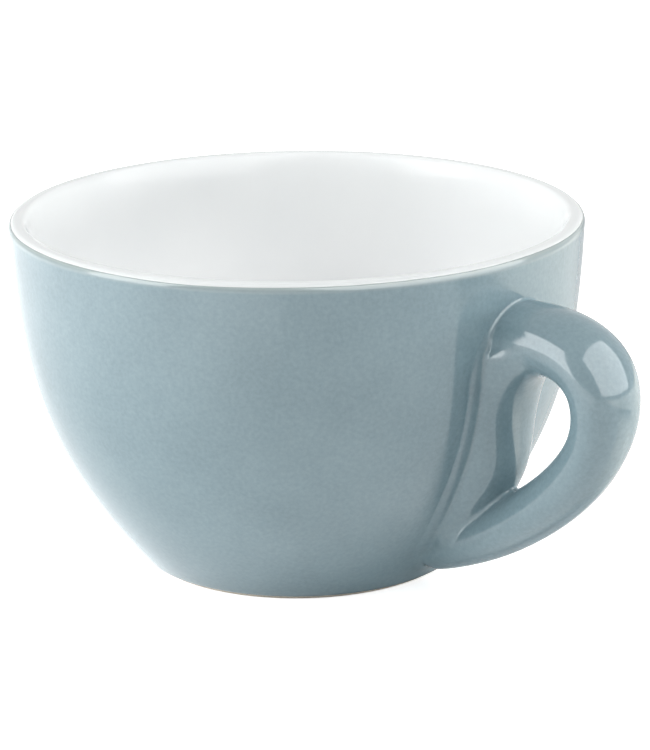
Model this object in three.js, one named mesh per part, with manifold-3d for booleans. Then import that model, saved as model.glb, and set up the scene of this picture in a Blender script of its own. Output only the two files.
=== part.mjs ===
// Glazed coffee cup: a cast clay bowl, a separately cast ear handle luted to its side,
// a white glaze that lines the inside and wraps the lip, and a coloured glaze over the rest.
import * as THREE from 'three';
import { mergeVertices } from 'three/addons/utils/BufferGeometryUtils.js';
import Module from 'manifold-3d';

const wasm = await Module();
wasm.setup();

// Driving dimensions: lengths in millimetres, angles in degrees.
// Bowl, with its sizes taken over the glaze
const cupHeight = 58.4;
const rimDiameter = 95;
const footDiameter = 53.2;
const footAngle = 49.8; // slope of the wall where it leaves the foot
const footArm = 27.6; // how long the wall holds that slope before the belly turns it
const rimAngle = 87.1; // slope of the wall under the lip
const rimArm = 22.4; // how long the wall holds that slope below the lip
const wallThickness = 5.2; // just above the foot, thinning towards the lip
const lipThickness = 3.4;
const lipRounding = 1.3;
const floorThickness = 5.4;
const floorRounding = 9; // height over which the inside wall turns into the floor

// Foot ring and the shallow recess inside it
const footRingWidth = 3.8;
const recessDepth = 2.2;
const recessSlope = 60;
const bareFootEdge = 0.6; // unglazed edge beside the foot ring

// Coats
const glazeThickness = 0.4;
const coatGap = 0.05; // between a coat and the clay under it
const seatGap = 0.3; // between pieces that are cut to each other
const slipThickness = 0.5;
const lipWrapAngle = 65; // how far the white glaze comes down the lip's outer rounding

// Handle, over its glaze: a tapering tube that leaves the wall below the lip, arches out and
// returns to the wall low down, closed into an ear by a low ridge that lies along the wall
const handleDrop = 13.7; // tube's middle at the wall, below the lip
const handleRise = 13.8; // upward slope there
const rootArm = 11.5; // how long the tube holds that slope
const rootDepth = 4.6; // start of the tube, inside the wall's face
const handleReach = 16.2; // tube's middle at its farthest, beyond the rim
const handleFall = 8.1; // height lost from the wall to the farthest point
const archArm = 9.4; // upright run above the farthest point
const sideArm = 12.9; // upright run below it
const tipHeight = 7.6; // tube's middle where it returns to the wall
const tipDepth = 0.9; // end of the tube, inside the wall's face
const tipSlope = 17.1; // downward slope there
const tipArm = 12.8; // how long the tube holds that slope
const rootThickness = 11.2;
const rootWidth = 13.8;
const tipThickness = 8.5;
const tipWidth = 10.2;
const ridgeWidth = 13; // at the upper end
const ridgeTipWidth = 9.4; // at the lower end
const ridgeHeight = 3; // how far the ridge stands off the wall

// Facets
const turnSegments = 48;
const wallSteps = 8;
const floorSteps = 3;
const tubeSteps = 20;
const tubeSides = 14;
const tubeSquareness = 2; // a plain ellipse
const domeSteps = 3;
const ridgeSteps = 7;
const ridgeSquareness = 2.2; // a little fuller than an ellipse
const mergeDistance = 1e-4;
const halvings = 40; // of a parameter's range, to find a height on a curve
const slopeStep = 0.01; // of a parameter, to read a curve's slope

const coat = glazeThickness + coatGap;
const lipRound = Math.min(lipRounding, lipThickness / 2);
const floorHeight = recessDepth + floorThickness;
const rootHeight = cupHeight - handleDrop;

// Finishes
const colouredGlaze = { color: 0x93a9b0, roughness: 0.16, metalness: 0 };
const whiteGlaze = { color: 0xf1f2ef, roughness: 0.14, metalness: 0 };
const firedClay = { color: 0xe4ded2, roughness: 0.8, metalness: 0 };
const firedSlip = { color: 0xd9d2c4, roughness: 0.85, metalness: 0 };

function along(point, angle, length) {
  const turn = THREE.MathUtils.degToRad(angle);
  return new THREE.Vector2(point.x + length * Math.cos(turn), point.y + length * Math.sin(turn));
}

function spread(count, valueAt) {
  return Array.from({ length: count + 1 }, (unused, i) => valueAt(i / count));
}

// Where a curve that climbs with its parameter passes a height
function paramAtHeight(pointAt, height) {
  let low = 0;
  let high = 1;
  for (let halving = 0; halving < halvings; halving += 1) {
    const middle = (low + high) / 2;
    if (pointAt(middle).y < height) low = middle;
    else high = middle;
  }
  return (low + high) / 2;
}

// Bowl outline, in radius and height
const lipCentre = new THREE.Vector2(rimDiameter / 2 - lipRound, cupHeight - lipRound);
const footEdge = new THREE.Vector2(footDiameter / 2, 0);
const wallTop = along(lipCentre, rimAngle - 90, lipRound);
const wall = new THREE.CubicBezierCurve(
  footEdge,
  along(footEdge, footAngle, footArm),
  along(wallTop, rimAngle, -rimArm),
  wallTop,
);

function wallParam(height) {
  return paramAtHeight((t) => wall.getPoint(t), height);
}

function insideWall(t) {
  const run = wall.getTangent(t);
  const thickness = THREE.MathUtils.lerp(wallThickness, lipThickness, t);
  return wall.getPoint(t).add(new THREE.Vector2(-run.y, run.x).multiplyScalar(thickness));
}

// A skin is an outline over the glaze, walked with the clay on its left
function outerSkin() {
  const bareParam = wallParam(along(footEdge, footAngle, bareFootEdge).y);
  const face = spread(wallSteps, (s) => wall.getPoint(THREE.MathUtils.lerp(bareParam, 1, s)));
  return [...face, along(lipCentre, glazeLine(-1), lipRound)];
}

// Angle on the lip's rounding where one of the two glazes stops short of the line between them
function glazeLine(side) {
  const halfGap = THREE.MathUtils.radToDeg(seatGap / 2 / lipRound);
  return 90 - lipWrapAngle + side * halfGap;
}

function linerSkin() {
  const innerCentre = new THREE.Vector2(lipCentre.x - lipThickness + 2 * lipRound, lipCentre.y);
  const bendParam = paramAtHeight(insideWall, floorHeight + floorRounding);
  const bendStart = insideWall(bendParam);
  const slope = bendStart.clone().sub(insideWall(bendParam + slopeStep));
  const corner = bendStart.clone().addScaledVector(slope, -floorRounding / slope.y);
  const bendLength = Math.min(bendStart.distanceTo(corner), corner.x - lipThickness);
  const bendEnd = new THREE.Vector2(corner.x - bendLength, floorHeight);
  const bend = new THREE.QuadraticBezierCurve(bendStart, corner, bendEnd);
  return [
    along(lipCentre, glazeLine(1), lipRound),
    along(lipCentre, (glazeLine(1) + 90) / 2, lipRound),
    along(lipCentre, 90, lipRound),
    along(innerCentre, 90, lipRound),
    along(innerCentre, 135, lipRound),
    ...spread(wallSteps, (s) => insideWall(THREE.MathUtils.lerp(1, bendParam, s))),
    ...bend.getPoints(floorSteps).slice(1),
    new THREE.Vector2(0, floorHeight),
  ];
}

function recessSkin() {
  const ringEdge = new THREE.Vector2(footDiameter / 2 - footRingWidth, 0);
  const lean = 180 - recessSlope;
  const climb = recessDepth / Math.sin(THREE.MathUtils.degToRad(recessSlope));
  return [
    new THREE.Vector2(0, recessDepth),
    along(ringEdge, lean, climb),
    along(ringEdge, lean, Math.min(bareFootEdge, climb / 2)),
  ];
}

// A skin moved off itself, away from the clay where the distance is positive
function shifted(skin, distance) {
  const runs = skin.slice(1).map((point, i) => point.clone().sub(skin[i]).normalize());
  return skin.map((point, i) => {
    const arrive = runs[Math.max(i - 1, 0)];
    const leave = runs[Math.min(i, runs.length - 1)];
    const middle = arrive.clone().add(leave).normalize();
    const side = new THREE.Vector2(middle.y, -middle.x);
    return point.clone().addScaledVector(side, distance / middle.dot(leave));
  });
}

function turned(profile) {
  return solidOf(new THREE.LatheGeometry(profile, turnSegments).rotateX(Math.PI / 2));
}

// The glaze on a skin, as a closed profile that starts on the axis where the skin reaches it
function coatOn(skin) {
  const back = shifted(skin, -glazeThickness).reverse();
  const loop = skin[0].x > 0 ? [...back, ...skin] : [...skin, ...back];
  return turned(loop[0].x > 0 ? [...loop, loop[0]] : loop);
}

function bowlClay() {
  const ringInner = footDiameter / 2 - footRingWidth + coat;
  const ringOuter = footDiameter / 2 - coat;
  return turned([
    ...shifted(recessSkin(), -coat),
    new THREE.Vector2(ringInner, 0),
    new THREE.Vector2(ringOuter, 0),
    ...shifted(outerSkin(), -coat),
    ...shifted(linerSkin(), -coat),
  ]);
}

// Everything inside the wall's outer face, moved out by a distance
function wallBody(distance) {
  const face = shifted(outerSkin(), distance);
  const bottom = new THREE.Vector2(0, face[0].y);
  const top = new THREE.Vector2(0, face[face.length - 1].y);
  return turned([bottom, ...face, top]);
}

// A solid along stations in the plane of radius and height, with rounded sections across it.
// Each station has a centre, a run, a half thickness in the plane and a half width across it.
function swept(stations, firstPoint, lastPoint, squareness) {
  const points = [];
  const power = 2 / squareness;
  const bulge = (value) => Math.sign(value) * Math.abs(value) ** power;
  for (const { centre, run, thick, wide } of stations) {
    for (let side = 0; side < tubeSides; side += 1) {
      const turn = (2 * Math.PI * side) / tubeSides;
      const off = thick * bulge(Math.cos(turn));
      const across = -wide * bulge(Math.sin(turn));
      points.push(centre.x - run.y * off, across, centre.y + run.x * off);
    }
  }
  const firstIndex = points.length / 3;
  points.push(firstPoint.x, 0, firstPoint.y, lastPoint.x, 0, lastPoint.y);
  const triangles = [];
  const lastRing = (stations.length - 1) * tubeSides;
  for (let side = 0; side < tubeSides; side += 1) {
    const next = (side + 1) % tubeSides;
    triangles.push(firstIndex, next, side);
    triangles.push(firstIndex + 1, lastRing + side, lastRing + next);
    for (let ring = 0; ring < lastRing; ring += tubeSides) {
      const far = ring + tubeSides;
      triangles.push(ring + side, ring + next, far + next);
      triangles.push(ring + side, far + next, far + side);
    }
  }
  const geometry = new THREE.BufferGeometry();
  geometry.setAttribute('position', new THREE.Float32BufferAttribute(points, 3));
  geometry.setIndex(triangles);
  return solidOf(geometry);
}

// The handle tube's middle line, from inside the wall, out over the arch and back to the wall
function tubeLine() {
  const root = wall.getPoint(wallParam(rootHeight));
  root.x -= rootDepth;
  const far = new THREE.Vector2(rimDiameter / 2 + handleReach, rootHeight - handleFall);
  const tip = wall.getPoint(wallParam(tipHeight));
  tip.x -= tipDepth;
  const line = new THREE.CurvePath();
  line.add(new THREE.CubicBezierCurve(
    root, along(root, handleRise, rootArm), along(far, 90, archArm), far,
  ));
  line.add(new THREE.CubicBezierCurve(
    far, along(far, -90, sideArm), along(tip, tipSlope, tipArm), tip,
  ));
  return line;
}

function handleTube(grow) {
  const line = tubeLine();
  const stations = spread(tubeSteps, (s) => ({
    centre: line.getPoint(s),
    run: line.getTangent(s),
    thick: THREE.MathUtils.lerp(rootThickness, tipThickness, s) / 2 + grow,
    wide: THREE.MathUtils.lerp(rootWidth, tipWidth, s) / 2 + grow,
  }));
  const { centre, run, thick, wide } = stations[tubeSteps];
  const beyond = (turn) => centre.clone().addScaledVector(run, thick * Math.sin(turn));
  for (let step = 1; step < domeSteps; step += 1) {
    const turn = (Math.PI / 2) * (step / domeSteps);
    const shrink = Math.cos(turn);
    stations.push({ centre: beyond(turn), run, thick: thick * shrink, wide: wide * shrink });
  }
  return swept(stations, stations[0].centre, beyond(Math.PI / 2), tubeSquareness);
}

function handleRidge(grow) {
  const lowParam = wallParam(tipHeight);
  const highParam = wallParam(rootHeight);
  const stations = spread(ridgeSteps, (s) => {
    const t = THREE.MathUtils.lerp(lowParam, highParam, s);
    return {
      centre: wall.getPoint(t),
      run: wall.getTangent(t),
      thick: ridgeHeight + grow,
      wide: THREE.MathUtils.lerp(ridgeTipWidth, ridgeWidth, s) / 2 + grow,
    };
  });
  return swept(stations, stations[0].centre, stations[ridgeSteps].centre, ridgeSquareness);
}

// The whole ear over its glaze, grown or shrunk all round
function handleForm(grow) {
  return handleTube(grow).add(handleRidge(grow));
}

// A closed solid from a geometry, with shared corners merged and collapsed triangles dropped
function solidOf(geometry) {
  geometry.deleteAttribute('normal');
  geometry.deleteAttribute('uv');
  const merged = mergeVertices(geometry, mergeDistance);
  const corners = merged.index.array;
  const triangles = [];
  for (let i = 0; i < corners.length; i += 3) {
    const [a, b, c] = corners.slice(i, i + 3);
    if (a !== b && b !== c && c !== a) triangles.push(a, b, c);
  }
  return new wasm.Manifold(new wasm.Mesh({
    numProp: 3,
    vertProperties: Float32Array.from(merged.attributes.position.array),
    triVerts: Uint32Array.from(triangles),
  }));
}

function piece(name, solid, finish) {
  const { vertProperties, triVerts } = solid.getMesh();
  const geometry = new THREE.BufferGeometry();
  geometry.setAttribute('position', new THREE.BufferAttribute(vertProperties, 3));
  geometry.setIndex(new THREE.BufferAttribute(triVerts, 1));
  geometry.computeVertexNormals();
  const mesh = new THREE.Mesh(geometry, new THREE.MeshStandardMaterial(finish));
  mesh.name = name;
  return mesh;
}

// Distances off the bowl's glazed face: the slip lies on the clay wall, the handle on the slip
const slipBack = seatGap - coat;
const slipFront = slipBack + slipThickness;
const handleBack = slipFront + seatGap;

const handleCore = handleForm(-coat);
const slipZone = wallBody(slipFront).subtract(wallBody(slipBack));
const handleCoat = handleForm(0).subtract(handleForm(-glazeThickness));

const cup = new THREE.Group();
cup.name = 'coffee_cup';
cup.add(
  piece('bowl', bowlClay(), firedClay),
  piece('handle', handleCore.subtract(wallBody(handleBack)), firedClay),
  piece('luting_slip', handleCore.intersect(slipZone), firedSlip),
  piece('outer_glaze', coatOn(outerSkin()).subtract(handleForm(seatGap)), colouredGlaze),
  piece('liner_glaze', coatOn(linerSkin()), whiteGlaze),
  piece('handle_glaze', handleCoat.subtract(wallBody(seatGap)), colouredGlaze),
  piece('base_glaze', coatOn(recessSkin()), colouredGlaze),
);

// The origin is on the table, under the middle of the cup's length, handle included
const extent = new THREE.Box3().setFromObject(cup);
cup.position.x = -(extent.min.x + extent.max.x) / 2;

export default cup;
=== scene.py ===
import math

import bmesh
import bpy
import numpy as np
from mathutils import Matrix, Vector


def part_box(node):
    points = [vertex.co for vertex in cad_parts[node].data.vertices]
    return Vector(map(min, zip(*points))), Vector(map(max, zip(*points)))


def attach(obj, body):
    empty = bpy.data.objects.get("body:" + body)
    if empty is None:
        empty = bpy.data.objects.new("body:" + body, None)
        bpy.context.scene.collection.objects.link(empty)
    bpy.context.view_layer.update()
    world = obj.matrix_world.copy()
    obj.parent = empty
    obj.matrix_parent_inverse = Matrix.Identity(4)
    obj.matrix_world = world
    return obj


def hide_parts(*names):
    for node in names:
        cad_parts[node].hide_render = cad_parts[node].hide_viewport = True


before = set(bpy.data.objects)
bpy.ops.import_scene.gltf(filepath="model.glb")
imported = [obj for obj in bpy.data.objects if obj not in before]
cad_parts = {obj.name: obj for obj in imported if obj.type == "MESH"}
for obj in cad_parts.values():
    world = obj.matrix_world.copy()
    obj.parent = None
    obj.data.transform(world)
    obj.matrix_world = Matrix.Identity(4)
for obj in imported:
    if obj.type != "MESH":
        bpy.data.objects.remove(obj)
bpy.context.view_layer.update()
scene = bpy.context.scene
mm = 0.001
weldGap = 1e-7    # metres between points that are one
tiny = 1e-9       # keeps divisions off zero
print("frame: nodes", ", ".join(sorted(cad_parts)))


# Bowl outline, in millimetres of radius and height, over the glaze
bowlForm = {
    "footRadius": 26.6,
    "footAngle": 49.8,       # slope of the wall where it leaves the foot
    "footArm": 27.6,
    "rimAngle": 87.1,        # slope of the wall under the lip
    "rimArm": 22.4,
    "lipThickness": 3.4,
    "lipRound": 1.3,
    "flareHeight": 8.0,      # the inside wall leans out towards the lip over this height
    "flareTop": 1.2,
    "flareArm": 5.2,
    "wallThickness": 5.2,
    "floorThickness": 5.4,
    "floorRound": 9.0,
    "floorArm": 2 / 3,       # share of the way to the corner
    "footRingWidth": 3.8,
    "recessDepth": 2.2,
    "recessSlope": 60.0,
    "recessRound": 2.0,      # rounding at the top of the recess, along its top and down its side
    "recessArm": 0.4,
    "recessDrop": 0.9,
    "recessDropArm": 0.2,
    "segments": 288,
    "points": {"wall": 400, "lip": 40, "flare": 60, "bend": 80, "floor": 12, "recess": 16},
    "turnWeight": 4.0,       # millimetres of length that a radian of turn counts for
}
bowlLow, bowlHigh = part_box("bowl")
glazeLow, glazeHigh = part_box("outer_glaze")
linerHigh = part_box("liner_glaze")[1]
axisX = (bowlLow.x + bowlHigh.x) / 2
rimRadius = (glazeHigh.y - glazeLow.y) / 2 / mm
cupHeight = linerHigh.z / mm


def turnTo(degrees, length=1.0):
    angle = math.radians(degrees)
    return np.array([math.cos(angle), math.sin(angle)]) * length


def bezier(a, b, c, d, count):
    t = np.linspace(0, 1, count)[:, None]
    return (1 - t) ** 3 * a + 3 * (1 - t) ** 2 * t * b + 3 * (1 - t) * t * t * c + t ** 3 * d


def arc(centre, radius, start, stop, count):
    angles = np.radians(np.linspace(start, stop, count))
    return centre + radius * np.stack([np.cos(angles), np.sin(angles)], 1)


def smooth(t):
    return t * t * (3 - 2 * t)


def outline(points):
    steps = np.diff(points, axis=0)
    length = np.concatenate([[0], np.cumsum(np.hypot(*steps.T))])
    run = np.gradient(points, length, axis=0)
    run /= np.linalg.norm(run, axis=1, keepdims=True)
    side = np.stack([run[:, 1], -run[:, 0]], 1)    # away from the clay
    turn = np.abs(np.gradient(np.unwrap(np.arctan2(run[:, 1], run[:, 0]))))
    return {"points": points, "side": side, "length": length, "turn": turn}


def onOutline(line, place, depth):
    place = np.asarray(place, float)
    point = np.stack([np.interp(place, line["length"], line["points"][:, i]) for i in (0, 1)], 1)
    side = np.stack([np.interp(place, line["length"], line["side"][:, i]) for i in (0, 1)], 1)
    return point - side * np.asarray(depth, float)[..., None]


def makeOutlines(form):
    counts = form["points"]
    lip = form["lipRound"]
    lipCentre = np.array([rimRadius - lip, cupHeight - lip])
    innerCentre = lipCentre - [form["lipThickness"] - 2 * lip, 0]
    foot = np.array([form["footRadius"], 0.0])
    top = lipCentre + turnTo(form["rimAngle"] - 90, lip)
    wall = bezier(foot, foot + turnTo(form["footAngle"], form["footArm"]),
                  top - turnTo(form["rimAngle"], form["rimArm"]), top, counts["wall"])
    share = np.linspace(0, 1, len(wall))[:, None]
    thickness = form["wallThickness"] + (form["lipThickness"] - form["wallThickness"]) * share
    inner = (wall - outline(wall)["side"] * thickness)[::-1]

    # The inside wall turns into the floor over the height of floorRound
    floorHeight = form["recessDepth"] + form["floorThickness"]
    inner = inner[inner[:, 1] > floorHeight + form["floorRound"]]
    slope = inner[-1] - inner[-2]
    corner = inner[-1] - slope * (inner[-1, 1] - floorHeight) / slope[1]
    bendEnd = np.array([corner[0] - np.linalg.norm(corner - inner[-1]), floorHeight])
    bend = bezier(inner[-1], inner[-1] + (corner - inner[-1]) * form["floorArm"],
                  bendEnd + (corner - bendEnd) * form["floorArm"], bendEnd, counts["bend"])
    floor = np.array([[bendEnd[0] * s, floorHeight] for s in np.linspace(1, 0, counts["floor"])])

    # It leans out again towards the lip
    inner = inner[inner[:, 1] < cupHeight - form["flareHeight"]]
    lipTop = innerCentre + [0, lip]
    rise = (inner[0] - inner[1]) / np.linalg.norm(inner[0] - inner[1])
    flare = bezier(lipTop, lipTop - [form["flareTop"], 0], inner[0] + rise * form["flareArm"],
                   inner[0], counts["flare"])

    lipArc = arc(lipCentre, lip, form["rimAngle"] - 90, 90, counts["lip"])
    skin = np.concatenate([wall, lipArc[1:], flare, inner[1:], bend[1:], floor[1:]])

    ringEdge = np.array([form["footRadius"] - form["footRingWidth"], 0.0])
    climb = form["recessDepth"] / math.sin(math.radians(form["recessSlope"]))
    uphill = turnTo(180 - form["recessSlope"])
    recessTop = ringEdge + uphill * climb
    recessArc = bezier(recessTop - [form["recessRound"], 0], recessTop - [form["recessArm"], 0],
                       recessTop - uphill * form["recessDropArm"], recessTop - uphill * form["recessDrop"],
                       counts["recess"])
    recess = np.concatenate([[[0, form["recessDepth"]]], recessArc, [ringEdge]])
    return wall, outline(skin), outline(recess)


wallLine, skinLine, recessLine = makeOutlines(bowlForm)
lipStart = skinLine["length"][len(wallLine) - 1]
print("outline: skin", round(skinLine["length"][-1], 1), "mm long")


def finishMesh(name, vertices, faces, material, nodes):
    mesh = bpy.data.meshes.new(name)
    mesh.from_pydata(np.asarray(vertices).tolist(), [], np.asarray(faces).tolist())
    work = bmesh.new()
    work.from_mesh(mesh)
    bmesh.ops.remove_doubles(work, verts=work.verts, dist=weldGap)
    bmesh.ops.recalc_face_normals(work, faces=work.faces)
    for face in work.faces:
        face.smooth = True
    work.to_mesh(mesh)
    work.free()
    piece = bpy.data.objects.new(name, mesh)
    scene.collection.objects.link(piece)
    mesh.materials.append(material)
    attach(piece, "root")
    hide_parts(*nodes)
    print("piece:", name, len(mesh.vertices), "points")
    return piece


def spin(name, loopAt, material, nodes):
    count = bowlForm["segments"]
    angles = np.arange(count) * 2 * math.pi / count
    loops = np.array([loopAt(angle) for angle in angles])    # angle, point, radius and height
    points = loops.shape[1]
    x = axisX + loops[:, :, 0] * np.cos(angles)[:, None] * mm
    y = loops[:, :, 0] * np.sin(angles)[:, None] * mm
    vertices = np.stack([x, y, loops[:, :, 1] * mm], 2).reshape(-1, 3)
    here, nextPoint = np.arange(points), (np.arange(points) + 1) % points
    ring = np.arange(count)[:, None] * points
    nextRing = np.roll(ring, -1, axis=0)
    faces = np.stack([ring + here, nextRing + here, nextRing + nextPoint, ring + nextPoint], 2)
    return finishMesh(name, vertices, faces.reshape(-1, 4), material, nodes)


# Places along an outline, closer together where it turns
def places(line, start, stop, count):
    effort = line["length"] + bowlForm["turnWeight"] * np.cumsum(line["turn"])
    low, high = np.interp([start, stop], line["length"], effort)
    return np.interp(np.linspace(low, high, count), effort, line["length"])


# A coat of glaze between two places of an outline, rounded off at its edges.
# Where two coats meet, the one underneath starts with a long sunk lap and the other thins out over it.
def coatLoop(line, start, stop, form):
    front = places(line, start, stop, form["frontPoints"])
    back = places(line, stop, start, form["backPoints"])
    thick, skim = form["thickness"], form.get("skim", 0.0)
    depth, backDepth = np.zeros(len(front)), np.full(len(back), thick)
    for edge, away in ((form["startRound"], front - start), (form["stopRound"], stop - front)):
        if edge > 0:
            share = np.clip(away / edge, 0, 1)
            depth = np.maximum(depth, min(thick, edge) * (1 - np.sqrt(1 - (1 - share) ** 2)))
    if "lapUnder" in form:
        share = np.clip((front - start) / form["lapUnder"], 0, 1)
        sunk = np.where(share < 1, skim + (thick - skim) * (1 - share), skim)
        rise = np.clip((front - start - form["lapUnder"]) / form["lapRise"], 0, 1)
        depth = np.maximum(depth, sunk * (1 - smooth(rise)))
    if "lapOver" in form:
        share = np.clip((stop - back) / form["lapOver"], 0, 1)
        backDepth = np.minimum(backDepth, skim + (thick - skim) * share)
    return np.concatenate([onOutline(line, front, depth), onOutline(line, back, backDepth)])


def addNode(tree, kind, inputs=(), **settings):
    node = tree.nodes.new(kind)
    for name, value in settings.items():
        setattr(node, name, value)
    for socket, value in dict(inputs).items():
        if isinstance(value, bpy.types.NodeSocket):
            tree.links.new(value, node.inputs[socket])
        else:
            node.inputs[socket].default_value = value
    return node


def newMaterial(name):
    material = bpy.data.materials.new(name)
    material.use_nodes = True
    tree = material.node_tree
    shader = tree.nodes["Principled BSDF"]
    place = addNode(tree, "ShaderNodeTexCoord").outputs["Object"]
    return material, tree, shader, place


# A ramp between two colours
def rampOf(tree, factor, stops):
    ramp = addNode(tree, "ShaderNodeValToRGB", {"Fac": factor})
    for element, (position, colour) in zip(ramp.color_ramp.elements, stops):
        element.position = position
        element.color = (*colour, 1.0)
    return ramp.outputs["Color"]


def noiseOf(tree, place, scale, detail, grain=0.5):
    noise = addNode(tree, "ShaderNodeTexNoise", {"Vector": place, "Scale": scale, "Detail": detail,
                                                 "Roughness": grain})
    return noise.outputs["Fac"]


def rangeOf(tree, value, start, stop, low=0.0, high=1.0):
    node = addNode(tree, "ShaderNodeMapRange", {"Value": value, "From Min": start, "From Max": stop,
                                                "To Min": low, "To Max": high})
    return node.outputs[0]


def mathOf(tree, operation, *values):
    return addNode(tree, "ShaderNodeMath", dict(enumerate(values)), operation=operation).outputs[0]


def vectorOf(tree, operation, a, b, output):
    return addNode(tree, "ShaderNodeVectorMath", {0: a, 1: b}, operation=operation).outputs[output]


# Colour that goes over to the look's tone near the lip
def mixLipTone(tree, shader, colour, factor, look):
    mix = addNode(tree, "ShaderNodeMix", {"Factor": factor}, data_type="RGBA")
    tree.links.new(colour, mix.inputs["A"])
    mix.inputs["B"].default_value = (*look["lipTone"], 1)
    tree.links.new(mix.outputs["Result"], shader.inputs["Base Color"])


def glazeSurface(tree, shader, place, tone, look):
    tree.links.new(rangeOf(tree, tone, 0.0, 1.0, *look["roughness"]), shader.inputs["Roughness"])
    addBump(tree, shader, noiseOf(tree, place, look["peelScale"], look["peelDetail"]),
            look["peelStrength"], look["peelHeight"])


def addBump(tree, shader, height, strength, distance):
    bump = addNode(tree, "ShaderNodeBump", {"Strength": strength, "Distance": distance * mm,
                                            "Height": height})
    tree.links.new(bump.outputs[0], shader.inputs["Normal"])


# Grey-blue glaze: fine mottle over slow drifts of tone, warmer where it thins below the lip
blueGlazeLook = {
    "deep": (0.167, 0.248, 0.281),
    "pale": (0.228, 0.321, 0.356),
    "lipTone": (0.35, 0.41, 0.41),
    "stops": (0.3, 0.7),       # tones at which the colour is deep and pale
    "mottleScale": 1500.0,
    "mottleDetail": 3.0,
    "mottleGrain": 0.6,
    "mottleShare": 0.55,
    "driftScale": 70.0,
    "driftDetail": 2.0,
    "driftShare": 0.45,
    "thinBand": (1.6, 0.6),    # millimetres below the lip
    "roughness": (0.07, 0.13),
    "peelScale": 420.0,
    "peelDetail": 1.0,
    "peelStrength": 0.02,
    "peelHeight": 0.2,
}


def makeBlueGlaze(look):
    material, tree, shader, place = newMaterial("greyBlueGlaze")
    mottle = noiseOf(tree, place, look["mottleScale"], look["mottleDetail"], look["mottleGrain"])
    drift = noiseOf(tree, place, look["driftScale"], look["driftDetail"])
    slow = mathOf(tree, "MULTIPLY", drift, look["driftShare"])
    tone = mathOf(tree, "MULTIPLY_ADD", mottle, look["mottleShare"], slow)
    colour = rampOf(tree, tone, zip(look["stops"], (look["deep"], look["pale"])))
    height = addNode(tree, "ShaderNodeSeparateXYZ", {0: place}).outputs["Z"]
    nearLip = rangeOf(tree, height, *((cupHeight - below) * mm for below in look["thinBand"]))
    mixLipTone(tree, shader, colour, nearLip, look)
    glazeSurface(tree, shader, place, mottle, look)
    return material


whiteGlazeLook = {
    "deep": (0.88, 0.895, 0.9),
    "pale": (0.92, 0.93, 0.93),
    "lipTone": (0.75, 0.78, 0.78),      # grey where the glaze thins towards the lip's outer edge; spread down over the top of the inside wall it is painted shade
    "thinningAndShadeRadii": (42.0, 47.3),
    "stops": (0.3, 0.7),
    "driftScale": 45.0,
    "driftDetail": 3.0,
    "roughness": (0.05, 0.09),
    "specular": 0.16,
    "peelScale": 300.0,
    "peelDetail": 1.0,
    "peelStrength": 0.015,
    "peelHeight": 0.2,
}


def makeWhiteGlaze(look):
    material, tree, shader, place = newMaterial("whiteGlaze")
    drift = noiseOf(tree, place, look["driftScale"], look["driftDetail"])
    colour = rampOf(tree, drift, zip(look["stops"], (look["deep"], look["pale"])))
    flat = vectorOf(tree, "MULTIPLY", place, (1, 1, 0), "Vector")
    radius = vectorOf(tree, "DISTANCE", flat, (axisX, 0, 0), "Value")
    # Greyer towards the lip: real thinning at the lip's outer edge, painted shade over the top of the
    # inside wall
    thinningAndShade = rangeOf(tree, radius, *(edge * mm for edge in look["thinningAndShadeRadii"]))
    mixLipTone(tree, shader, colour, thinningAndShade, look)
    shader.inputs["Specular IOR Level"].default_value = look["specular"]
    glazeSurface(tree, shader, place, drift, look)
    return material


clayLook = {
    "deep": (0.66, 0.60, 0.51),
    "pale": (0.78, 0.74, 0.66),
    "slipShade": 0.92,
    "stops": (0.3, 0.7),
    "grainScale": 2600.0,
    "grainDetail": 4.0,
    "grainStrength": 0.25,
    "grainHeight": 0.1,
    "roughness": 0.82,
}


def makeClay(name, look, shade):
    material, tree, shader, place = newMaterial(name)
    grain = noiseOf(tree, place, look["grainScale"], look["grainDetail"])
    tones = [[part * shade for part in look[tone]] for tone in ("deep", "pale")]
    tree.links.new(rampOf(tree, grain, zip(look["stops"], tones)), shader.inputs["Base Color"])
    shader.inputs["Roughness"].default_value = look["roughness"]
    addBump(tree, shader, grain, look["grainStrength"], look["grainHeight"])
    return material


blueGlaze = makeBlueGlaze(blueGlazeLook)
whiteGlaze = makeWhiteGlaze(whiteGlazeLook)
bareClay = makeClay("bareClay", clayLook, 1.0)
bareSlip = makeClay("bareSlip", clayLook, clayLook["slipShade"])
print("materials:", len(bpy.data.materials))


# Clay bowl under its coats: only the foot ring shows
clayForm = {"cover": 0.45, "bareEdge": 0.6, "ringRound": 0.25, "recessPoints": 30, "skinPoints": 150}


def clayLoop(angle):
    form = clayForm
    cover, edge, corner = form["cover"], form["bareEdge"], form["ringRound"]
    along = places(recessLine, 0, recessLine["length"][-1] - edge, form["recessPoints"])
    recess = onOutline(recessLine, along, np.full(len(along), cover))
    along = places(skinLine, edge, skinLine["length"][-1], form["skinPoints"])
    skin = onOutline(skinLine, along, np.full(len(along), cover))
    ringIn = bowlForm["footRadius"] - bowlForm["footRingWidth"] + cover
    ringOut = bowlForm["footRadius"] - cover
    ring = [[ringIn, corner], [ringIn + corner, 0.0], [ringOut - corner, 0.0], [ringOut, corner]]
    loop = np.concatenate([recess, ring, skin])
    loop[0, 0] = loop[-1, 0] = 0.0
    return loop


bowlClay = spin("bowlClay", clayLoop, bareClay, ["bowl"])


# Line between the two glazes: round the lip, wandering a little as a dipped edge does
lineForm = {
    "wrapAngle": 47.0,      # how far the white comes down the lip's outer rounding
    # Turns, millimetres and phase
    "waves": ((2, 0.10, 0.6), (3, 0.07, 2.1), (7, 0.035, 0.4), (13, 0.02, 1.3)),
}


def glazeLine(angle):
    wander = sum(size * math.sin(turns * angle + phase) for turns, size, phase in lineForm["waves"])
    down = math.radians(90 - lineForm["wrapAngle"] - (bowlForm["rimAngle"] - 90))
    return lipStart + down * bowlForm["lipRound"] + wander


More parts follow.
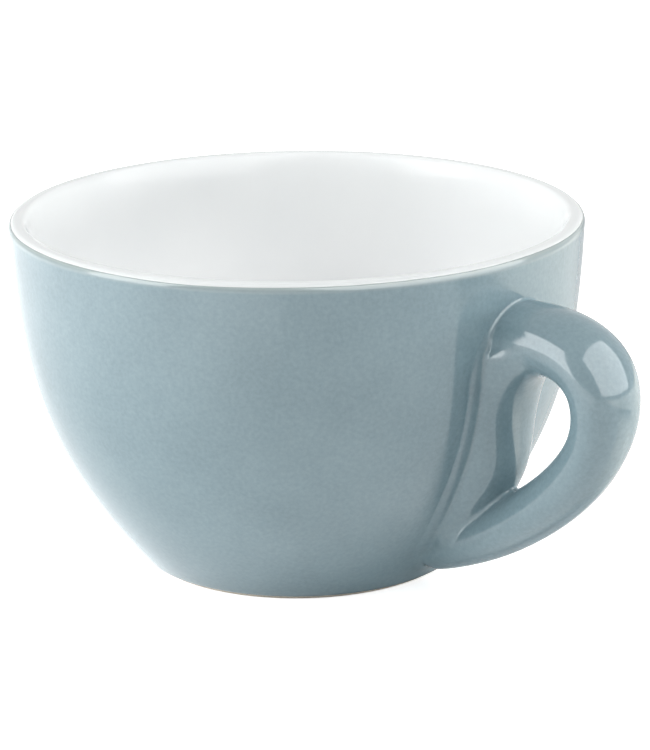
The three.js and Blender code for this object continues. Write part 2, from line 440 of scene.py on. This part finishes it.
outerForm = {"thickness": 0.4, "startRound": 0.5, "stopRound": 0.03, "frontPoints": 130, "backPoints": 40,
             "bareEdge": clayForm["bareEdge"], "lapOver": 0.5, "skim": 0.03}


def outerLoop(angle):
    return coatLoop(skinLine, outerForm["bareEdge"], glazeLine(angle), outerForm)


outerGlaze = spin("outerGlaze", outerLoop, blueGlaze, ["outer_glaze"])

linerForm = {"thickness": 0.4, "startRound": 0.0, "stopRound": 0.0, "frontPoints": 150, "backPoints": 50,
             "lapUnder": 0.5, "lapRise": 0.5, "skim": 0.034}


def linerLoop(angle):
    start = glazeLine(angle) - linerForm["lapUnder"]
    loop = coatLoop(skinLine, start, skinLine["length"][-1], linerForm)
    loop[linerForm["frontPoints"] - 1: linerForm["frontPoints"] + 1, 0] = 0.0
    return loop


linerGlaze = spin("linerGlaze", linerLoop, whiteGlaze, ["liner_glaze"])

baseForm = {"thickness": 0.4, "startRound": 0.0, "stopRound": 0.5, "frontPoints": 40, "backPoints": 20,
            "bareEdge": clayForm["bareEdge"]}


def baseLoop(angle):
    loop = coatLoop(recessLine, 0, recessLine["length"][-1] - baseForm["bareEdge"], baseForm)
    loop[0, 0] = loop[-1, 0] = 0.0
    return loop


baseGlaze = spin("baseGlaze", baseLoop, blueGlaze, ["base_glaze"])


# Handle: a distance field in millimetres, along the handle's reach, across it and up
handleForm = {
    "rootHeight": 44.7, "rootDepth": 4.6, "rootRise": 13.8, "rootArm": 11.5,
    "reach": 16.2, "fall": 8.1, "archArm": 9.4, "sideArm": 12.9,
    "tipHeight": 7.6, "tipDepth": 0.9, "tipSlope": 17.1, "tipArm": 12.8,
    "outPoints": 260, "backPoints": 300,
    "knots": (0.0, 0.25, 0.5, 0.8, 1.0),
    "halfThickness": (5.6, 5.3, 4.45, 4.4, 4.2),
    "halfWidth": (7.0, 6.7, 5.7, 5.6, 5.6),
    "ridgeHeights": (9.0, 16.0, 27.0, 38.0), "ridgeFeet": (6.0, 6.6, 7.0, 7.4),    # half width at the wall
    "crestHeights": (11.0, 15.0, 19.0, 23.0, 27.0, 32.0, 38.0, 44.0),
    "crests": (3.0, 3.5, 4.3, 4.8, 4.0, 2.9, 3.9, 6.6),    # height of the ridge off the wall
    "crestDegree": 5,
    "ridgeSquareness": 2.15, "ridgeTop": 44.0, "ridgeEnd": 11.0, "ridgeEndRound": 1.5, "ridgeCore": 0.001,
    "seamHeights": (6.0, 16.0, 40.0, 45.0, 50.0),
    "seamWidths": (1.7, 2.5, 2.4, 1.4, 0.4),    # bevel on the wall
    "seamLift": 0.2, "seamEdge": 0.35,
    "blendHeights": (14.0, 24.0, 35.0, 41.0, 47.0, 50.0),
    "blends": (0.7, 3.2, 4.5, 3.4, 1.3, 1.0),    # fillet between ridge and tube
    "rootBlend": 2.5, "rootReach": (1.5, 4.0), "rootFade": (20.0, 26.0),    # more fillet low at the wall
    "sinkSlope": 0.02, "sinkCurve": 0.06, "backDepth": 0.8,
    "coreShare": 0.3, "coreDepth": 2.0,    # the field is level deep inside the tube
    "boxStart": 22.0, "boxSide": 10.4, "boxBottom": -0.6, "boxPastRim": 24.0, "boxUnderRim": 1.0,
    "grid": 0.4, "bottom": 1.0,
    "clayCover": 0.45, "clayBack": 0.65, "clayGrid": 0.8,
}


def wallRadius(height):
    return np.interp(height, wallLine[:, 1], wallLine[:, 0])


wallSlope = np.gradient(wallLine[:, 0], wallLine[:, 1])


def handleLine(form):
    root = np.array([wallRadius(form["rootHeight"]) - form["rootDepth"], form["rootHeight"]])
    far = np.array([rimRadius + form["reach"], form["rootHeight"] - form["fall"]])
    tip = np.array([wallRadius(form["tipHeight"]) - form["tipDepth"], form["tipHeight"]])
    out = bezier(root, root + turnTo(form["rootRise"], form["rootArm"]), far + [0, form["archArm"]],
                 far, form["outPoints"])
    back = bezier(far, far - [0, form["sideArm"]], tip + turnTo(form["tipSlope"], form["tipArm"]),
                  tip, form["backPoints"])
    return np.concatenate([out, back[1:]])


def eased(share, knots, values):
    knots, values = np.array(knots), np.array(values)
    i = np.clip(np.searchsorted(knots, share, side="right") - 1, 0, len(knots) - 2)
    t = smooth(np.clip((share - knots[i]) / (knots[i + 1] - knots[i]), 0, 1))
    return values[i] * (1 - t) + values[i + 1] * t


tubeLine = handleLine(handleForm)
tubeLength = np.concatenate([[0], np.cumsum(np.hypot(*np.diff(tubeLine, axis=0).T))])
tubeShare = tubeLength / tubeLength[-1]
tubeThick = eased(tubeShare, handleForm["knots"], handleForm["halfThickness"])
tubeWide = eased(tubeShare, handleForm["knots"], handleForm["halfWidth"])


def softMin(a, b, reach):
    share = np.maximum(reach - np.abs(a - b), 0) / reach
    return np.minimum(a, b) - share * share * reach / 4


def softMax(a, b, reach):
    return -softMin(-a, -b, reach)


def wallDistance(out, across, up):
    slope = np.interp(up, wallLine[:, 1], wallSlope)
    return (np.hypot(out, across) - wallRadius(up)) / np.sqrt(1 + slope ** 2)


def nearestOnTube(out, up):
    out, up = np.broadcast_arrays(out, up)
    flatOut, flatUp = out.ravel(), up.ravel()
    index = np.empty(flatOut.size, int)
    batch = 8192    # places at a time, to spare memory
    for start in range(0, flatOut.size, batch):
        part = slice(start, start + batch)
        gap = (flatOut[part, None] - tubeLine[:, 0]) ** 2 + (flatUp[part, None] - tubeLine[:, 1]) ** 2
        index[part] = gap.argmin(1)
    away = np.hypot(flatOut - tubeLine[index, 0], flatUp - tubeLine[index, 1])
    return index.reshape(out.shape), away.reshape(out.shape)


def tubeDistance(out, across, up):
    index, away = nearestOnTube(out, up)
    thick, wide = tubeThick[index], tubeWide[index]
    a, b = away / thick, np.abs(across) / wide
    size = np.sqrt(a * a + b * b)
    steep = np.sqrt((a / thick) ** 2 + (b / wide) ** 2) + tiny
    return np.where(size < handleForm["coreShare"], -handleForm["coreDepth"], size * (size - 1) / steep)


crestCurve = np.polyfit(handleForm["crestHeights"], handleForm["crests"], handleForm["crestDegree"])


# A ridge along the wall between the handle's two ends, its section a rounded arch
def ridgeDistance(across, up, wall):
    form = handleForm
    power = form["ridgeSquareness"]
    foot = np.interp(up, form["ridgeHeights"], form["ridgeFeet"])
    crest = np.polyval(crestCurve, np.clip(up, form["ridgeEnd"], form["ridgeTop"]))
    a, b = np.abs(across) / foot, np.maximum(wall, 0) / crest
    size = np.maximum((a ** power + b ** power) ** (1 / power), form["ridgeCore"])
    steep = np.hypot(a ** (power - 1) / foot, b ** (power - 1) / crest) * size ** (1 - power)
    side = (size - 1) / np.maximum(steep, form["ridgeCore"])
    ends = np.maximum(up - form["ridgeTop"], form["ridgeEnd"] - up)
    return softMax(side, ends, form["ridgeEndRound"])


# The ear's skin ends in a bevel on the wall and then sinks under it
def earSkin(out, across, up):
    form = handleForm
    wall = wallDistance(out, across, up)
    tube, ridge = tubeDistance(out, across, up), ridgeDistance(across, up, wall)
    nearWall = np.interp(wall, form["rootReach"], (form["rootBlend"], 0.0))
    nearWall = nearWall * np.interp(up, form["rootFade"], (1.0, 0.0))
    ear = softMin(tube, ridge, np.interp(up, form["blendHeights"], form["blends"]) + nearWall)
    seam = np.interp(up, form["seamHeights"], form["seamWidths"])
    lift = seam * form["seamLift"]
    bevel = (ear / seam + wall / lift - 1) / np.hypot(1 / seam, 1 / lift)
    away = np.maximum(ear - seam, 0)
    sunk = wall + form["sinkSlope"] * away + form["sinkCurve"] * away ** 2
    return np.minimum(softMin(ear, bevel, form["seamEdge"]), sunk)


def gridOf(low, high, step):
    counts = np.ceil((np.array(high) - low) / step).astype(int) + 1
    return [low[i] + np.arange(counts[i]) * step for i in range(3)]


# Quads over the places where a field on a grid changes sign
def skinOf(field, low, step):
    inside = field < 0
    size = np.array(field.shape)
    corners = [np.array([i, j, k]) for i in (0, 1) for j in (0, 1) for k in (0, 1)]
    held = sum(inside[tuple(slice(c, n - 1 + c) for c, n in zip(corner, size))].astype(int)
               for corner in corners)
    active = (held > 0) & (held < len(corners))
    cells = np.argwhere(active)
    number = np.full(active.shape, -1)
    number[active] = np.arange(len(cells))
    total, crossings = np.zeros((len(cells), 3)), np.zeros(len(cells))
    for first in corners:
        for axis in np.flatnonzero(first == 0):
            step3 = np.eye(3, dtype=int)[axis]
            a = field[tuple((cells + first).T)]
            b = field[tuple((cells + first + step3).T)]
            crosses = (a < 0) != (b < 0)
            share = a[crosses] / (a[crosses] - b[crosses])
            total[crosses] += first + share[:, None] * step3
            crossings[crosses] += 1
    points = low + (cells + total / crossings[:, None]) * step
    faces = []
    for axis in range(3):
        other = [i for i in range(3) if i != axis]
        edges = np.argwhere(np.diff(inside.astype(int), axis=axis) != 0)
        edges = edges[(edges[:, other] > 0).all(1) & (edges[:, other] < size[other] - 1).all(1)]
        around = []
        for a, b in ((0, 0), (1, 0), (1, 1), (0, 1)):
            cell = edges.copy()
            cell[:, other[0]] -= a
            cell[:, other[1]] -= b
            around.append(number[tuple(cell.T)])
        faces.append(np.stack(around, 1))
    return points, np.concatenate(faces)


settleForm = {"rounds": 3, "probe": 0.01, "leastSlope": 0.05, "farthest": 0.2}


# Moves points onto the zero of a field
def settle(points, field, form):
    for _ in range(form["rounds"]):
        value = field(*points.T)
        slope = []
        for probe in np.eye(3) * form["probe"]:
            slope.append((field(*(points + probe).T) - field(*(points - probe).T)) / (2 * form["probe"]))
        slope = np.stack(slope, 1)
        move = value[:, None] * slope / np.maximum((slope ** 2).sum(1, keepdims=True), form["leastSlope"])
        points = points - np.clip(move, -form["farthest"], form["farthest"])
    return points


def makeEar(name, form, skin, back, step, material, nodes):
    low = np.array([form["boxStart"], -form["boxSide"], form["boxBottom"]])
    high = np.array([rimRadius + form["boxPastRim"], form["boxSide"], cupHeight - form["boxUnderRim"]])
    out, across, up = gridOf(low, high, step)
    spaced = (out[:, None, None], across[None, :, None], up[None, None, :])
    field = np.maximum(skin(*spaced), back - wallDistance(*spaced))
    field = np.maximum(field, form["bottom"] - spaced[2])
    points, faces = skinOf(field, low, step)
    front = np.abs(skin(*points.T)) < step
    points[front] = settle(points[front], skin, settleForm)
    vertices = points * mm + [axisX, 0, 0]
    return finishMesh(name, vertices, faces, material, nodes)


handleGlaze = makeEar("handleGlaze", handleForm, earSkin, -handleForm["backDepth"], handleForm["grid"],
                      blueGlaze, ["handle_glaze"])


def earClay(out, across, up):
    ridge = ridgeDistance(across, up, wallDistance(out, across, up))
    return np.minimum(tubeDistance(out, across, up), ridge) + handleForm["clayCover"]


handleClay = makeEar("handleClay", handleForm, earClay, handleForm["clayBack"], handleForm["clayGrid"],
                     bareClay, ["handle"])

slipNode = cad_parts["luting_slip"]
slipNode.data.materials.clear()
slipNode.data.materials.append(bareSlip)


# Floor, sky and softboxes
stageForm = {
    "floorRadius": 4.0,
    "floorSegments": 128,
    "floorDrop": 0.02,       # under the foot ring, so that the two faces do not coincide
    "floorColour": (0.9, 0.9, 0.9),
    "floorRoughness": 0.9,
    "cameraGlow": 0.72,      # white added to what the camera sees of the floor
    "shadowSoft": 2.5,
    "shadowMiddle": (12.0, -6.0),    # of the painted shadow under the foot
    "skyLight": 0.18,
}

# Straight edges on the floor that bound the painted glow and the cup's painted shadow within it, each a
# point in millimetres and a direction
shadowNearEdge = ((95.5, -65.5), -27.7)
shadowFarEdge = ((134.0, -20.5), -3.7)
backEdge = ((-15.0, 0.0), 90.0)
plainWhite = (1.0, 1.0, 1.0)
warmWhite = (1.0, 0.96, 0.85)

# Painted reflection: white glow on the floor that only glossy rays see, where the floor lies past one of
# the edges on the side given; between the edges it stays dark as a painted shadow of the cup.
# It rises over a range of distance from the painted shadow under the foot and fades across edges of a given
# width.
paintedFloorGlows = {
    "left": {
        "edges": ((*shadowNearEdge, -1), (*backEdge, 1)), "rise": (21.0, 35.0), "fades": (),
        "level": 1.1, "colour": plainWhite,
    },
    "farLeft": {
        "edges": ((*backEdge, 1),), "rise": (27.0, 42.0),
        "fades": (((-128.0, 0.0), 121.0, 1, 55.0),),
        "level": 1.0, "colour": plainWhite,
    },
    "right": {
        "edges": ((*shadowFarEdge, 1), ((186.5, -29.0), 108.4, -1)), "rise": (27.0, 42.0),
        "fades": (((97.0, 0.0), 59.0, -1, 73.0),),
        "level": 1.9, "colour": warmWhite,
    },
    "besideHandle": {
        "edges": ((*shadowNearEdge, 1),), "rise": (50.0, 82.0),
        "fades": ((*shadowFarEdge, -1, 2.5), ((150.0, 0.0), 90.0, 1, 25.0)),
        "level": 1.9, "colour": warmWhite,
    },
}


def seenBackground(tree):
    path = addNode(tree, "ShaderNodeLightPath").outputs
    seen = mathOf(tree, "MAXIMUM", path["Is Camera Ray"], path["Is Glossy Ray"])
    return mathOf(tree, "MAXIMUM", seen, path["Is Transmission Ray"])


# How far a place on the floor lies past a straight edge, from 0 to 1
def pastEdge(tree, place, point, direction, side, soft):
    angle = math.radians(direction + photoView["azimuth"] + 90 * side)
    outward = Vector((math.cos(angle), math.sin(angle), 0))
    edge = outward.dot(onFloor(point))
    past = vectorOf(tree, "DOT_PRODUCT", place, outward, "Value")
    return rangeOf(tree, past, edge - soft * mm, edge + soft * mm)


# A place given in millimetres right of and behind the bowl's axis, as the camera sees them
def onFloor(point):
    return Vector((axisX, 0, 0)) + viewTurn() @ Vector((*point, 0)) * mm


def makeFloor(form):
    work = bmesh.new()
    bmesh.ops.create_circle(work, cap_ends=True, segments=form["floorSegments"], radius=form["floorRadius"])
    mesh = bpy.data.meshes.new("floor")
    work.to_mesh(mesh)
    work.free()
    floor = bpy.data.objects.new("floor", mesh)
    floor.location.z = form["floorDrop"] * -mm
    scene.collection.objects.link(floor)
    material, tree, shader, place = newMaterial("paleFloor")
    shader.inputs["Base Color"].default_value = (*form["floorColour"], 1)
    shader.inputs["Roughness"].default_value = form["floorRoughness"]
    shader.inputs["Specular IOR Level"].default_value = 0.0
    path = addNode(tree, "ShaderNodeLightPath").outputs
    away = vectorOf(tree, "DISTANCE", place, onFloor(form["shadowMiddle"]), "Value")
    glows = [(plainWhite, mathOf(tree, "MULTIPLY", path["Is Camera Ray"], form["cameraGlow"]))]
    # Painted reflection glows, seen only by glossy rays, with the cup's painted shadow left dark between
    # their edges
    for part in paintedFloorGlows.values():
        low, high = part["rise"]
        level = rangeOf(tree, away, low * mm, high * mm, 0.0, part["level"])
        lit = 0.0
        for edge in part["edges"]:
            lit = mathOf(tree, "MAXIMUM", pastEdge(tree, place, *edge, form["shadowSoft"]), lit)
        fades = [pastEdge(tree, place, *fade) for fade in part["fades"]]
        for factor in (lit, path["Is Glossy Ray"], *fades):
            level = mathOf(tree, "MULTIPLY", level, factor)
        glows.append((part["colour"], level))
    surface = shader.outputs[0]
    for colour, level in glows:
        glow = addNode(tree, "ShaderNodeEmission", {"Color": (*colour, 1), "Strength": level})
        surface = addNode(tree, "ShaderNodeAddShader", {0: glow.outputs[0], 1: surface}).outputs[0]
    tree.links.new(surface, tree.nodes["Material Output"].inputs["Surface"])
    mesh.materials.append(material)


def makeSky(form):
    world = bpy.data.worlds.new("studio")
    scene.world = world
    world.use_nodes = True
    tree = world.node_tree
    tree.nodes.clear()
    light = addNode(tree, "ShaderNodeBackground", {"Color": (1, 1, 1, 1), "Strength": form["skyLight"]})
    white = addNode(tree, "ShaderNodeBackground", {"Color": (1, 1, 1, 1), "Strength": 1.0})
    mix = addNode(tree, "ShaderNodeMixShader", {0: seenBackground(tree), 1: light.outputs[0],
                                                2: white.outputs[0]})
    addNode(tree, "ShaderNodeOutputWorld", {"Surface": mix.outputs[0]})


photoView = {
    "azimuth": 42.0,
    "elevation": 16.66,
    "distance": 499.5,
    "aim": (4.386, 0.0, 30.06),      # millimetres right of, behind and above the foot's middle
    "roll": -0.642,
    "focal": 142.86,
    "sensor": 36.0,
    "clip": (0.01, 50.0),
}

# Softboxes: turn to the right of the camera and height in degrees, distance, width and height in metres,
# watts, and whether matt or glossy rays see them
softboxes = {
    "leftSoftbox": (-88.0, 18.0, 0.7, 0.55, 0.65, 1.9, "matt"),
    "lowLeftLamp": (-88.0, 4.0, 0.8, 0.4, 0.1, 2.0, "matt"),
    "leftCard": (-67.0, 20.0, 0.7, 0.46, 0.62, 5.6, "gloss"),
    "frontLeftSoftbox": (-60.0, 20.0, 0.8, 0.4, 0.4, 2.25, "matt"),
    "frontSoftbox": (-25.0, 30.0, 0.8, 0.4, 0.4, 0.6, "matt"),
    "rightLamp": (66.0, 14.0, 0.8, 0.25, 0.25, 0.35, "matt"),
    "rightSoftbox": (76.0, 38.0, 0.8, 0.3, 0.3, 2.7, "matt"),
    "rightCard": (56.0, 35.0, 0.5, 0.85, 0.6, 7.8, "gloss"),
    "lowRightLamp": (92.0, 5.0, 0.8, 0.4, 0.1, 2.0, "matt"),
    "highSoftbox": (-100.0, 60.0, 0.8, 0.5, 0.5, 0.4, "matt"),
    "topSoftbox": (60.0, 76.0, 0.8, 0.7, 0.7, 1.6, "matt"),
}


def viewTurn():
    return Matrix.Rotation(math.radians(photoView["azimuth"]), 4, "Z")


def makeCamera(view):
    camera = bpy.data.objects.new("photoCamera", bpy.data.cameras.new("photoCamera"))
    scene.collection.objects.link(camera)
    tilt = math.radians(view["elevation"])
    right, ahead = Vector((1, 0, 0)), Vector((0, math.cos(tilt), -math.sin(tilt)))
    up = right.cross(ahead)
    roll = Matrix.Rotation(math.radians(view["roll"]), 4, "Z")
    turn = Matrix((right, up, -ahead)).transposed().to_4x4() @ roll
    place = (Vector(view["aim"]) - ahead * view["distance"]) * mm
    camera.matrix_world = Matrix.Translation((axisX, 0, 0)) @ viewTurn() @ Matrix.Translation(place) @ turn
    camera.data.sensor_width = view["sensor"]
    camera.data.lens = view["focal"]
    camera.data.clip_start, camera.data.clip_end = view["clip"]
    scene.camera = camera


def makeSoftbox(name, turn, height, distance, width, tall, watts, reaches):
    lamp = bpy.data.lights.new(name, "AREA")
    lamp.shape = "RECTANGLE"
    lamp.size, lamp.size_y = width, tall
    lamp.energy = watts
    box = bpy.data.objects.new(name, lamp)
    scene.collection.objects.link(box)
    side, rise = math.radians(turn), math.radians(height)
    flat = math.cos(rise)
    toward = viewTurn() @ Vector((math.sin(side) * flat, -math.cos(side) * flat, math.sin(rise)))
    middle = Vector((axisX, 0, cupHeight / 2 * mm))
    box.location = middle + toward * distance
    box.rotation_mode = "QUATERNION"
    box.rotation_quaternion = (-toward).to_track_quat("-Z", "Y")
    box.visible_camera = False
    box.visible_diffuse = reaches != "gloss"
    box.visible_glossy = reaches != "matt"


makeFloor(stageForm)
makeSky(stageForm)
makeCamera(photoView)
for boxName, values in softboxes.items():
    makeSoftbox(boxName, *values)
scene.view_settings.view_transform = "Standard"
print("stage: floor, sky, camera and", len(softboxes), "softboxes")
